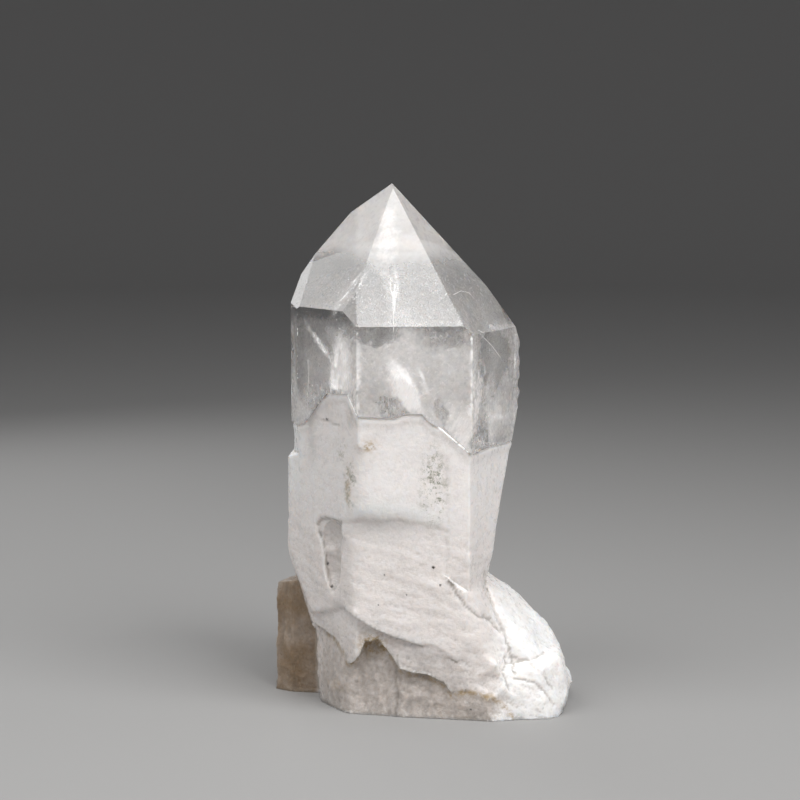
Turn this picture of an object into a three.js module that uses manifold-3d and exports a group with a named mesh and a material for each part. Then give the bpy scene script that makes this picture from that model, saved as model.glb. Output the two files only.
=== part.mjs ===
// A polished clear quartz point, 18 cm tall, grown as one piece: a six-sided crystal with a clear
// polished point above and natural frosted quartz below, broken off at the foot, with a short stub
// crystal behind its lower left and a mass of white quartz that flares out at its lower right.
// Units are millimetres, +Z is up, the front faces -Y and the specimen stands on its flat underside.

import * as THREE from 'three';
import { ConvexGeometry } from 'three/addons/geometries/ConvexGeometry.js';
import { ImprovedNoise } from 'three/addons/math/ImprovedNoise.js';
import { TessellateModifier } from 'three/addons/modifiers/TessellateModifier.js';
import { mergeVertices } from 'three/addons/utils/BufferGeometryUtils.js';
import Module from 'manifold-3d';

const wasm = await Module();
wasm.setup();

// Flat faces. A face's turn is its compass direction about the crystal's axis: 0 faces the front, 90 the
// right and -90 the left. Its tilt is measured from level, so 90 is upright and more than 90 overhangs.
// A prism face has its distance from the axis. A face of the point has the height at which its plane
// meets the axis.
const TURN = 4.7;
const SIXTH = 60;
const PRISM_OUT = [35.0, 33.7, 34.9, 34.6, 38.1, 34.4];
const POLISHED_BLOCK = { low: [-60, -60, 60], high: [60, 60, 200] };
const LEFT_STRIP = { turn: -75.4, tilt: 90, out: 38.0 };
const POINT_FACES = [
  { turn: TURN, tilt: 50.3, top: 175.2 },
  { turn: TURN + SIXTH, tilt: 50.9, top: 171.6 },
  { turn: TURN + 2 * SIXTH, tilt: 51.8, top: 177.3 },
  { turn: TURN + 3 * SIXTH, tilt: 51.8, top: 185.6 },
  { turn: TURN + 4 * SIXTH, tilt: 54.0, top: 200.2 },
  { turn: TURN + 5 * SIXTH, tilt: 51.9, top: 181.6 },
  { turn: -32.7, tilt: 56.3, top: 192.4 },
  { turn: -71, tilt: 60.0, top: 202.0 },
  { turn: 112, tilt: 62.3, top: 197.2 },
];

// The right side below the point is drawn in towards the foot by one long break.
const RIGHT_TAPER = { turn: 100, tilt: 104.6, at: [40, 4.4, 108] };

// Where the polish ends, seen from the front and from behind: x and z of the ragged line.
const POLISH_END_FRONT = [
  [-45, 97], [-38, 96.8], [-35.6, 97.5], [-33.2, 100], [-29, 106.6], [-26.5, 109.4], [-19.9, 110.5],
  [-16.2, 103.2], [-3.6, 102.7], [-1.3, 104.1], [4.9, 104.1], [6.9, 101.7], [9.9, 99.7], [11.7, 99.9],
  [21.5, 90.1], [27, 91], [34.6, 90.6], [45, 91],
];
const POLISH_END_BACK = [
  [-45, 97], [-38, 96.8], [-34, 93], [-27, 86], [-18, 82], [-9, 88], [-3, 87], [4, 78], [13, 76],
  [20, 84], [27, 88], [34.6, 90.6], [45, 91],
];

// The natural faces below the polish lie a little further in, except at the left where they stand proud.
const FROST_INSET = 0.9;
const FROST_BLOCK = { low: [-60, -60, 24], high: [60, 60, 113] };
const POLISH_OVERLAP = 0.5;

// Breaks in the natural quartz. Below its edge, a line of x and z in a front or back view, each break
// leaves only what lies behind its faces.
const LOW_FRONT = {
  edge: [
    [-30, -5], [-30, 60], [-27, 64], [-22, 66.5], [-15, 68.3], [-9.6, 68.5], [-3, 67.2], [3.3, 67.5],
    [8.7, 65.6], [13.9, 66], [14, 47.6], [19.1, 44.8], [24, 40], [27, 36], [60, 30], [60, -5],
  ],
  faces: [{ turn: -3, tilt: 86, at: [14, -32.7, 66] }, { turn: -55.3, out: 33.5 }],
};
const RIDGE = {
  edge: [
    [-45, 31], [-32.7, 31.6], [-26, 34.6], [-22, 37], [-17.4, 35.3], [-11.9, 31.8], [-6.1, 29.2], [5.2, 25.9],
    [11.1, 23.7], [22, 18], [34, 9], [40, -5], [-45, -5],
  ],
  faces: [{ turn: -8, at: [-12, -31.6, 30] }, { turn: -56, out: 31.6 }],
};
const SHELL = {
  edge: [
    [-45, 27.5], [-30.9, 27.2], [-24.1, 24.6], [-21.1, 21.2], [-20.2, 17.4], [-18.6, 18.5], [-15.5, 22],
    [-14, 26.6], [-12, 26.3], [-9.9, 27.3], [-4.7, 21], [-2.9, 17.4], [3, 15.6], [6.6, 15.6], [10, 13.9],
    [12, 13.3], [14.7, 9.6], [17.6, 10.6], [20.8, 11.2], [24.5, 9.9], [28.6, 9.5], [32.3, 6.3],
    [35.4, 3.1], [37, -5], [-45, -5],
  ],
  faces: [
    { turn: -13, tilt: 85, at: [-7.4, -30.3, 0] },
    { turn: -60, tilt: 84, at: [-24.4, -24, 0] },
    { turn: -82, tilt: 88, at: [-31.4, -4.7, 0] },
  ],
};
const LOW_BACK = {
  edge: [
    [-28, -5], [-28, 44], [-24, 56], [-15, 60], [-6, 57], [3, 63], [12, 60], [20, 50], [27, 46], [34, -5],
  ],
  faces: [{ turn: 176, tilt: 87, at: [0, 32.2, 55] }, { turn: 132, tilt: 84, at: [16, 29, 50] }],
};

// The broken foot of the main crystal, the white mass at its right in two steps, and the stub crystal
// behind its left, each the hull of a few corners.
const FOOT = [
  [-31, -4, 0], [-29, -19, 0], [-25, -27, 0], [-7.5, -36, 0], [18, -40, 0], [36, -39, 0], [40, -18, 0],
  [32, 20, 0], [15, 38, 0], [-12, 37, 0], [-29, 20, 0],
  [-32.5, -6, 32], [-31, -15, 32], [-15.5, -34.5, 50], [12, -35, 50], [23, -34, 42], [28, -19, 42],
  [18, 22, 50], [8, 33, 52], [-19, 31, 52], [-34, 10, 46],
];
const WHITE_STEP = [
  [28, -35, 0], [46.5, -35.5, 0], [51, -31.5, 0], [54, -19, 0], [56, 2, 0], [50, 18, 0], [36, 28, 0],
  [14, 31, 0],
  [57.6, -14, 8], [58.2, 2, 6], [55, -24, 8], [53, 14, 8],
  [32, -33, 17], [46, -30.5, 17.5], [52.5, -22, 20.5], [54, -4, 20.5], [48, 13, 20], [30, 25, 22],
];
const WHITE_SLOPE = [
  [26, -28, 12], [46, -26, 14], [50, -20, 16], [52.7, -4, 16], [46.5, 13, 15], [26, 24, 15],
  [53.5, -3, 21.5], [48.5, 0, 27.5], [41.5, 2, 33], [38.7, 3, 35.5], [34.4, 3, 40], [28.6, 2, 44.5],
  [26.5, -17, 44], [20, 18, 45], [31, -24, 33], [38, -22, 29],
];
const STUB = [
  [-46.5, 6, 0], [-47, 20, 0], [-41, 30, 0], [-30, 30, 0], [-26, 14, 0], [-30, 0, 0], [-41, 2, 0],
  [-46, 8, 34], [-44.5, 9, 39], [-46, 19, 36], [-40, 28, 37], [-30, 27, 40], [-26, 14, 42], [-30, 1, 41],
  [-40, 3, 40.5],
];

// The natural left edge stands proud of the polish as a low rib with a slanting top.
const LEFT_RIB = {
  low: [-60, -30, 44],
  high: [-20, 30, 92],
  faces: [
    { turn: -75.4, out: 39.4 },
    { turn: TURN + 4 * SIXTH, out: 38.9 },
    { turn: -55.3, out: 33.2 },
    { turn: -80, tilt: 38, at: [-41, 0, 84.5] },
  ],
};

// The notch in the left face is two rounded hollows, one above the other.
const NOTCH = [
  { at: [-27, -23.2, 59], radii: [8, 5.4, 7.6], turn: -55, lean: 0 },
  { at: [-26.4, -22.8, 52.5], radii: [5.4, 4.8, 10.5], turn: -55, lean: 4 },
];

// Shallow dishes where flakes have broken out: a place on the surface, the way it faces, and the
// dish's half width, half height and depth.
const DISHES = [
  { at: [21, -36.4, 18], turn: 8, tilt: 88, wide: 12, high: 8, deep: 1.2 },
  { at: [3, -35.2, 21], turn: -4, tilt: 92, wide: 11, high: 5.5, deep: 0.9 },
  { at: [41, -35.5, 6.5], turn: 8, tilt: 88, wide: 13, high: 8, deep: 1.3 },
  { at: [27, -31, 34], turn: 40, tilt: 75, wide: 5, high: 10, deep: 1.4 },
  { at: [56.5, -4, 13], turn: 85, tilt: 80, wide: 14, high: 6, deep: 1.2 },
  { at: [44, -14, 30], turn: 60, tilt: 50, wide: 11, high: 6, deep: 1.0 },
  { at: [20, 30, 22], turn: 160, tilt: 85, wide: 17, high: 11, deep: 2 },
  { at: [-10, 32.5, 14], turn: 185, tilt: 90, wide: 14, high: 9, deep: 1.5 },
  { at: [44, 22, 14], turn: 135, tilt: 75, wide: 13, high: 9, deep: 1.8 },
  { at: [23, 26, 68], turn: 124, tilt: 90, wide: 9, high: 14, deep: 1.1 },
  { at: [-46.6, 16, 22], turn: -92, tilt: 88, wide: 8, high: 10, deep: 1.0 },
];
const DISH_BALL = 3;
const DISH_DETAIL = 4;

// Small chips down the right edge, from the polished shoulder to where the natural quartz begins.
const CHIPS = [
  { z: 125, size: 2.2 }, { z: 121, size: 3.0 }, { z: 115.5, size: 2.4 }, { z: 110, size: 3.2 },
  { z: 104, size: 2.6 }, { z: 99.5, size: 3.2 }, { z: 94, size: 3.4 }, { z: 89.5, size: 2.6 },
];
const CHIP_EDGE = { x: 41.0, y: 4.6 };
const TAPER_SLOPE = Math.tan(THREE.MathUtils.degToRad(RIGHT_TAPER.tilt - 90));

// The left side is drawn in above the foot, the facets of the natural surface are this wide at most, and
// the underside is cut flat at this height.
const LEFT_UNDERCUT = { turn: -78, tilt: 105, at: [-41.6, -4, 58] };
const GRAIN = { lump: 5.5, shaft: 8, breaks: 11 };
const FLOOR = 0.6;

// The unevenness of the natural surfaces: two sizes of swell, in full at the foot and faint above it.
const COARSE = { size: 13, height: 0.9 };
const FINE = { size: 5.1, height: 0.5 };
const FAINT = { share: 0.2, from: 40, to: 70 };

const BIG = 400;
const SPECIMEN_BLOCK = { low: [-90, -90, -30], high: [90, 90, 120] };
const noise = new ImprovedNoise();

// Small tools.

function toSolid(geometry) {
  const bare = geometry.clone();
  bare.deleteAttribute('normal');
  bare.deleteAttribute('uv');
  const merged = mergeVertices(bare, 1e-4);
  return new wasm.Manifold(new wasm.Mesh({
    numProp: 3,
    vertProperties: new Float32Array(merged.attributes.position.array),
    triVerts: new Uint32Array(merged.index.array),
  }));
}

function toGeometry(solid) {
  const mesh = solid.getMesh();
  const geometry = new THREE.BufferGeometry();
  geometry.setAttribute('position', new THREE.BufferAttribute(mesh.vertProperties, 3));
  geometry.setIndex(new THREE.BufferAttribute(mesh.triVerts, 1));
  return geometry;
}

function block({ low, high }) {
  const size = high.map((value, i) => value - low[i]);
  const geometry = new THREE.BoxGeometry(...size);
  geometry.translate(...high.map((value, i) => (value + low[i]) / 2));
  return toSolid(geometry);
}

function lump(points) {
  return toSolid(new ConvexGeometry(points.map((p) => new THREE.Vector3(...p))));
}

// The unit vector that a face of this turn and tilt looks along.
function faceNormal(turn, tilt) {
  const a = THREE.MathUtils.degToRad(turn);
  const t = THREE.MathUtils.degToRad(tilt);
  return new THREE.Vector3(Math.sin(a) * Math.sin(t), -Math.cos(a) * Math.sin(t), Math.cos(t));
}

// Cuts away everything beyond the plane that looks along the normal at this distance from the origin.
function trim(solid, normal, distance) {
  const waste = new THREE.BoxGeometry(BIG, BIG, BIG);
  waste.translate(0, 0, BIG / 2 + distance);
  waste.applyQuaternion(new THREE.Quaternion().setFromUnitVectors(new THREE.Vector3(0, 0, 1), normal));
  return solid.subtract(toSolid(waste));
}

function trimFace(solid, { turn, tilt = 90, out, top, at }) {
  const normal = faceNormal(turn, tilt);
  const distance = at ? normal.dot(new THREE.Vector3(...at)) : out ?? top * normal.z;
  return trim(solid, normal, distance);
}

// A wall of this front-view outline that reaches from one depth to another.
function wall(outline, near, far) {
  const shape = new THREE.Shape(outline.map(([x, z]) => new THREE.Vector2(x, z)));
  const geometry = new THREE.ExtrudeGeometry(shape, { depth: far - near, bevelEnabled: false });
  geometry.rotateX(Math.PI / 2);
  geometry.translate(0, far, 0);
  return toSolid(geometry);
}

function hollow({ at, radii, turn, lean }) {
  const ball = new THREE.SphereGeometry(1, 18, 10);
  ball.scale(...radii);
  ball.rotateX(THREE.MathUtils.degToRad(lean));
  ball.rotateZ(THREE.MathUtils.degToRad(turn));
  ball.translate(...at);
  return toSolid(ball);
}

// A flattened ball, three times as thick each way as the dish is deep, that dips into the surface.
function dish({ at, turn, tilt, wide, high, deep }) {
  const ball = new THREE.IcosahedronGeometry(1, DISH_DETAIL);
  const rim = Math.sqrt(1 - ((DISH_BALL - 1) / DISH_BALL) ** 2);
  ball.scale(wide / rim, DISH_BALL * deep, high / rim);
  ball.translate(0, -(DISH_BALL - 1) * deep, 0);
  ball.rotateX(THREE.MathUtils.degToRad(tilt - 90));
  ball.rotateZ(THREE.MathUtils.degToRad(turn));
  ball.translate(...at);
  return toSolid(ball);
}

// The polished crystal: six prism faces, a narrow strip at the left, and the faces of the point.

function polishedCrystal() {
  let crystal = block(POLISHED_BLOCK);
  PRISM_OUT.forEach((out, i) => {
    crystal = trimFace(crystal, { turn: TURN + i * SIXTH, tilt: 90, out });
  });
  crystal = trimFace(crystal, LEFT_STRIP);
  POINT_FACES.forEach((face) => {
    crystal = trimFace(crystal, face);
  });
  return trimFace(crystal, RIGHT_TAPER);
}

function polishedZone(rise) {
  const above = (line) => [...line, [45, 200], [-45, 200]].map(([x, z]) => [x, z + rise]);
  const { low, high } = POLISHED_BLOCK;
  return wall(above(POLISH_END_FRONT), low[1], 0).add(wall(above(POLISH_END_BACK), 0, high[1]));
}

// The natural shaft below the polish, drawn in at its right and at its lower left.

function frostedShaft() {
  let shaft = block(FROST_BLOCK);
  PRISM_OUT.forEach((out, i) => {
    shaft = trimFace(shaft, { turn: TURN + i * SIXTH, tilt: 90, out: out - FROST_INSET });
  });
  shaft = trimFace(shaft, { ...LEFT_STRIP, out: LEFT_STRIP.out - FROST_INSET });
  const rib = LEFT_RIB.faces.reduce(trimFace, block(LEFT_RIB));
  return [RIGHT_TAPER, LEFT_UNDERCUT].reduce(trimFace, shaft.add(rib));
}

// The natural surfaces are split into small facets and their corners shifted, as broken quartz is uneven.

function unevenness(p) {
  const swell = ({ size, height }, shift) =>
    height * noise.noise(p.x / size + shift, p.y / size + 0.3 * shift, p.z / size);
  const low = 1 - THREE.MathUtils.smoothstep(p.z, FAINT.from, FAINT.to);
  return (FAINT.share + (1 - FAINT.share) * low) * (swell(COARSE, 7.3) + swell(FINE, 4.4));
}

function roughen(solid, grain) {
  const split = new TessellateModifier(grain, 14).modify(toGeometry(solid).toNonIndexed());
  split.deleteAttribute('normal');
  const geometry = mergeVertices(split, 1e-4);
  geometry.computeVertexNormals();
  const place = geometry.attributes.position;
  const normals = geometry.attributes.normal;
  const p = new THREE.Vector3();
  const n = new THREE.Vector3();
  for (let i = 0; i < place.count; i += 1) {
    p.fromBufferAttribute(place, i);
    n.fromBufferAttribute(normals, i);
    p.addScaledVector(n, unevenness(p));
    place.setXYZ(i, p.x, p.y, p.z);
  }
  return toSolid(geometry);
}

// A break: everything under its edge and in front of its faces comes off.
function breakAway(solid, { edge, faces }, near, far) {
  const kept = faces.reduce(trimFace, block(SPECIMEN_BLOCK));
  return solid.subtract(wall(edge, near, far).subtract(roughen(kept, GRAIN.breaks)));
}

function roughQuartz() {
  const lumps = [FOOT, WHITE_STEP, WHITE_SLOPE, STUB].map((points) => roughen(lump(points), GRAIN.lump));
  let quartz = lumps.reduce((a, b) => a.add(b), roughen(frostedShaft(), GRAIN.shaft));
  [LOW_FRONT, RIDGE, SHELL].forEach((part) => {
    quartz = breakAway(quartz, part, -80, -4);
  });
  quartz = breakAway(quartz, LOW_BACK, 10, 80);
  const hollows = [...NOTCH.map(hollow), ...DISHES.map((each) => roughen(dish(each), GRAIN.shaft))];
  return hollows.reduce((left, waste) => left.subtract(waste), quartz);
}

function chipped(solid) {
  return CHIPS.reduce((left, { z, size }, i) => {
    const chip = new THREE.IcosahedronGeometry(size, 0);
    chip.rotateZ(i * 1.1);
    chip.rotateX(i * 0.7);
    const inward = Math.max(0, RIGHT_TAPER.at[2] - z) * TAPER_SLOPE;
    chip.translate(CHIP_EDGE.x - inward, CHIP_EDGE.y, z);
    return left.subtract(toSolid(chip));
  }, solid);
}

function quartzPoint() {
  const tip = polishedCrystal().intersect(polishedZone(0));
  const rough = roughQuartz().subtract(polishedZone(POLISH_OVERLAP));
  const { low, high } = SPECIMEN_BLOCK;
  const floor = block({ low, high: [high[0], high[1], FLOOR] });
  const whole = chipped(tip.add(rough)).subtract(floor);
  const geometry = toGeometry(whole);
  geometry.computeBoundingBox();
  const { min, max } = geometry.boundingBox;
  geometry.translate(-(min.x + max.x) / 2, -(min.y + max.y) / 2, -min.z);
  return geometry;
}

const specimen = new THREE.Group();
const quartz = new THREE.Mesh(
  quartzPoint(),
  new THREE.MeshStandardMaterial({ color: '#e6e0dc', roughness: 0.35, metalness: 0 }),
);
quartz.name = 'quartz_point';
specimen.add(quartz);

export default specimen;
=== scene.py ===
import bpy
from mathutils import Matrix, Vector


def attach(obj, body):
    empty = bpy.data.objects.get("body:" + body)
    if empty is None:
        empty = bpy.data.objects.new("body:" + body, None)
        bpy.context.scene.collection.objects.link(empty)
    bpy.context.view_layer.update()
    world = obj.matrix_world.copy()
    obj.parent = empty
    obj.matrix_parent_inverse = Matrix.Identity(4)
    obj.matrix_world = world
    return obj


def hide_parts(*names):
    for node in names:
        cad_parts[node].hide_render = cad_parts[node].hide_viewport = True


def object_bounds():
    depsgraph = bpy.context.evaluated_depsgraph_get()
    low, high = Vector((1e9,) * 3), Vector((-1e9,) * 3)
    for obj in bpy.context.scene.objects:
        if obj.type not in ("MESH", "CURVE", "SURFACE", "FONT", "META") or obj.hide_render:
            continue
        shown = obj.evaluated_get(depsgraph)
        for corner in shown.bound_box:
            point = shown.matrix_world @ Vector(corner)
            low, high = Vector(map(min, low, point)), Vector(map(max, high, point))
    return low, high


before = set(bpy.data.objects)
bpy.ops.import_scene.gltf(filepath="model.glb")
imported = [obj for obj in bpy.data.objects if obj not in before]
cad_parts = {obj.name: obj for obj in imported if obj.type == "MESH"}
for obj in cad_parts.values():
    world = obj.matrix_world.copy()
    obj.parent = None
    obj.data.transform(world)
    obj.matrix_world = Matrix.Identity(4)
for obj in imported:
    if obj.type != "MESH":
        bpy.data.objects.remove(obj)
CAD_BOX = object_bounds()

"""A polished clear quartz point, 18 cm tall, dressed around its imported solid.

The crystal is one grown piece with a clear polished tip, a frosted and milky lower half, broken
ledges at the foot, a brownish stub behind its lower left and a white mass at its lower right.
Thin veils, wisps and cracks lie inside the clear part. Places are written in millimetres in the
crystal's own design frame, in which the tip stands at DESIGN_TIP, and are turned into metres in
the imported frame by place().
"""

import logging
import math
import random
from dataclasses import dataclass, field
from enum import Enum
from functools import reduce
from typing import Sequence

import bmesh
import bpy
from mathutils import Euler, Matrix, Vector, noise
from mathutils.bvhtree import BVHTree

log = logging.getLogger("quartz_point")

MM = 0.001
NODE = "quartz_point"
BODY = "root"
DESIGN_TIP = Vector((-5.107, 4.374, 179.496))
PACKED_TIP = max((v.co.copy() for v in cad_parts[NODE].data.vertices), key=lambda co: co.z)

# Where the polish ends, from the front and from behind: x and z of the ragged line.
POLISH_END_FRONT = [
    (-45, 97), (-38, 96.8), (-35.6, 97.5), (-33.2, 100), (-29, 106.6), (-26.5, 109.4), (-19.9, 110.5),
    (-16.2, 103.2), (-3.6, 102.7), (-1.3, 104.1), (4.9, 104.1), (6.9, 101.7), (9.9, 99.7), (11.7, 99.9),
    (21.5, 90.1), (27, 91), (34.6, 90.6), (45, 91),
]
POLISH_END_BACK = [
    (-45, 97), (-38, 96.8), (-33, 95.6), (-27, 94.4), (-23.4, 93), (-18, 82), (-9, 88), (-3, 87),
    (4, 78), (13, 76), (20, 84), (27, 88), (34.6, 90.6), (45, 91),
]

# Small dark specks on the front, as x, z and radius.
SPECKS = [
    (-26.9, 100.6, 0.4), (-36.0, 61.8, 0.6), (8.8, 52.3, 0.5), (11.2, 46.5, 0.4), (-27.0, 50.5, 0.45),
    (-25.6, 42.9, 0.5), (-0.2, 43.0, 0.3), (-7.4, 49.6, 0.25), (-9.5, 39.5, 0.25), (21.5, 4.5, 0.3),
]

# Edges of the two breaks at the foot of the front: x and z of the ragged lines.
RIDGE_LINE = [
    (-45, 31), (-32.7, 31.6), (-26, 34.6), (-22, 37), (-17.4, 35.3), (-11.9, 31.8), (-6.1, 29.2),
    (5.2, 25.9), (11.1, 23.7), (22, 18), (34, 9), (40, -5),
]
SHELL_LINE = [
    (-45, 27.5), (-30.9, 27.2), (-24.1, 24.6), (-21.1, 21.2), (-20.2, 17.4), (-18.6, 18.5), (-15.5, 22),
    (-14, 26.6), (-12, 26.3), (-9.9, 27.3), (-4.7, 21), (-2.9, 17.4), (3, 15.6), (6.6, 15.6), (10, 13.9),
    (12, 13.3), (14.7, 9.6), (17.6, 10.6), (20.8, 11.2), (24.5, 9.9), (28.6, 9.5), (32.3, 6.3),
    (35.4, 3.1), (37, -5),
]

# The worn step across the front: x and z of its lip.
STEP_LINE = [
    (-30, 66.5), (-22, 67.3), (-15, 68.6), (-9, 68.2), (-2, 68.6), (4, 67.2), (11, 65.6), (16, 64.5),
]

# The long notch at the left of the step: z and x of its left and right sides, and z of its ends.
NOTCH_LEFT = [
    (41, -26.0), (46, -27.2), (51, -28.2), (57, -29.2), (61, -31.0), (64, -31.4), (66, -30), (67.2, -27),
]
NOTCH_RIGHT = [(41, -25.2), (45.5, -22.8), (56, -22.3), (67.2, -22.0)]
NOTCH_FOOT = 41.5
NOTCH_TOP = 67.0

# Crevices and steps on the front, as the line's x and z points, its depth and half its width.
CREVICES = [
    ([(-33.4, 100.9), (-28, 100.2), (-22.8, 99.2)], 0.22, 0.35),
    ([(26.5, 48.4), (27.6, 40.9), (31.4, 32.3), (33.6, 27), (36.3, 15.9)], 0.55, 0.6),
    ([(14.2, 47.6), (16.5, 43.5), (19.2, 40.2), (24, 35.3), (28.5, 33.5)], 0.45, 0.5),
    ([(26.2, 35.3), (31.8, 28.6)], 0.5, 0.5),
    ([(-3.3, 22), (-4.1, 15), (-3.0, 9), (-4.2, 1)], 0.2, 0.4),
    ([(36.3, 14.3), (42.9, 12.8), (47, 9), (49.6, 4.8)], 0.45, 0.6),
    ([(35, 20), (41, 19), (46, 15.5), (49.5, 10)], 0.3, 0.5),
]

# Where ledges and edges of the front are worn round: left and right x, lowest and highest z.
WORN_STRETCHES = [(-21.5, 15.5, 50, 80), (-21.5, -10, 37, 93), (20, 37, 20, 44)]

# Soft oval marks on the natural surface, seen from the front: x and z of the middle, half the width,
# half the height, 1 for a soft mark or 2 for one with an even middle, and strength.
SMUDGES = [
    (-12.8, 93.4, 2.6, 1.8, 1, 1.0), (-19.8, 79.5, 1.1, 7.5, 2, 0.6), (-24.0, 9.0, 3.0, 1.6, 1, 0.5),
]
MOSS_FIELDS = [(8.8, 80, 4.6, 13, 2, 1.0), (-19, 80, 2.2, 8, 2, 0.9), (-22, 91, 2.0, 5, 2, 0.6)]
LOBE = (-22, 103, 7.5, 5.0, 2, 1.0)
# A painted highlight on the lit white ledge at the lower right.
LEDGE_HIGHLIGHT = (43.5, 25, 9, 4.5, 2, 1.0)
STAINED_POCKET = (-11.5, 25, 3.742, 3.742, 1, 1.0)

# Soft ovals in the clear part, seen from the front: x and z of the middle, half the width, half the
# length, degrees that the top leans left, and strength.
CLEAR_WINDOWS = [
    (-32.0, 118.5, 6.5, 13.5, 0, 1.0), (-10.0, 130.6, 8.0, 2.8, 0, 0.8), (-5.0, 106.0, 3.6, 4.6, 0, 0.9),
    (24.8, 96.5, 2.8, 6.5, 0, 0.9), (11.5, 105.0, 2.4, 4.2, 10, 0.5), (12.0, 129.0, 8.0, 3.5, 0, 0.5),
    (-12.5, 141.5, 5.0, 9.5, 4, 0.9), (-26.5, 144.5, 9.0, 7.5, -35, 0.9), (21.0, 141.0, 7.0, 10.0, 35, 0.8),
    (29.5, 121.5, 6.0, 8.5, 0, 0.7),
]
BRIGHT_PATCHES = [
    (-20.5, 113.5, 4.2, 13.5, 4, 0.5), (-0.4, 111.5, 3.0, 8.5, 30, 0.55), (-30.0, 126.8, 1.2, 9.5, 38, 0.35),
    (23.4, 111.0, 2.0, 9.5, -6, 0.45), (17.5, 99.0, 4.5, 8.0, 20, 0.2), (-6.2, 163.0, 3.2, 15.0, -6, 0.14),
]


def place(x: float, y: float, z: float) -> Vector:
    """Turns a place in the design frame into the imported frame.

    Args:
        x: millimetres to the right.
        y: millimetres to the back.
        z: millimetres up.

    Returns:
        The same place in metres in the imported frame.
    """
    return (Vector((x, y, z)) - DESIGN_TIP) * MM + PACKED_TIP


def design(co: Vector) -> Vector:
    """Returns a packed place in millimetres in the design frame."""
    return (co - PACKED_TIP) / MM + DESIGN_TIP


def smoothstep(low: float, high: float, value: float) -> float:
    """Returns 0 below low, 1 above high and a smooth rise between them."""
    t = min(1.0, max(0.0, (value - low) / (high - low)))
    return t * t * (3 - 2 * t)


def fall(low: float, high: float, value: float) -> float:
    """Returns 1 below low, 0 above high and a smooth fall between them."""
    return 1 - smoothstep(low, high, value)


def bell(value: float, middle: float, width: float) -> float:
    """Returns 1 at the middle, and less on both sides of it, down to 0.37 at the width."""
    return math.exp(-(((value - middle) / width) ** 2))


def oval(p: Vector, x: float, z: float, across: float, along: float, evenness: int,
         strength: float) -> float:
    """Reads a soft oval mark, seen from the front, at one design place.

    Args:
        p: the place.
        x: x of the mark's middle.
        z: z of the mark's middle.
        across: half its width in millimetres.
        along: half its height in millimetres.
        evenness: 1 for a soft mark, 2 for one with an even middle.
        strength: its value in the middle.

    Returns:
        The mark's value there.
    """
    away = ((p.x - x) / across) ** 2 + ((p.z - z) / along) ** 2
    return strength * math.exp(-(away ** evenness))


def pointing(start: Vector, end: Vector) -> Matrix:
    """Returns the turn that points the Z axis from start to end."""
    return (end - start).to_track_quat("Z", "Y").to_matrix().to_4x4()


def along_line(line: Sequence[tuple[float, float]], x: float) -> float:
    """Reads a broken line of x and z points at one x.

    Args:
        line: the points, from left to right.
        x: where the line is read.

    Returns:
        The line's height there.
    """
    for (x0, z0), (x1, z1) in zip(line, line[1:]):
        if x <= x1:
            return z0 + (z1 - z0) * max(0.0, (x - x0) / (x1 - x0))
    return line[-1][1]


def line_distance(line: Sequence[tuple[float, float]], x: float, z: float) -> float:
    """Measures how far a point is from a broken line, seen from the front.

    Args:
        line: the line's x and z points.
        x: the point's x.
        z: the point's z.

    Returns:
        The distance in millimetres.
    """
    nearest = math.inf
    for (x0, z0), (x1, z1) in zip(line, line[1:]):
        dx, dz = x1 - x0, z1 - z0
        t = min(1.0, max(0.0, ((x - x0) * dx + (z - z0) * dz) / (dx * dx + dz * dz)))
        nearest = min(nearest, math.hypot(x - x0 - t * dx, z - z0 - t * dz))
    return nearest


def above_polish_end(p: Vector) -> float:
    """Returns how far a design place is above the end of the polish, in millimetres."""
    return p.z - along_line(POLISH_END_FRONT if p.y < 0 else POLISH_END_BACK, p.x)


def inside_notch(p: Vector) -> float:
    """Returns how far a design place is inside the outline of the notch, in millimetres."""
    across = min(p.x - along_line(NOTCH_LEFT, p.z), along_line(NOTCH_RIGHT, p.z) - p.x)
    return min(across, NOTCH_TOP - p.z, p.z - NOTCH_FOOT)


class Zone(Enum):
    """The kinds of surface that the crystal has."""

    NATURAL = 0
    POLISHED = 1


def all_in(zone: Zone, layer: bmesh.types.BMLayerItem, faces: Sequence[bmesh.types.BMFace]) -> bool:
    """Returns whether all these faces are in one zone."""
    return all(face[layer] == zone.value for face in faces)


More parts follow.
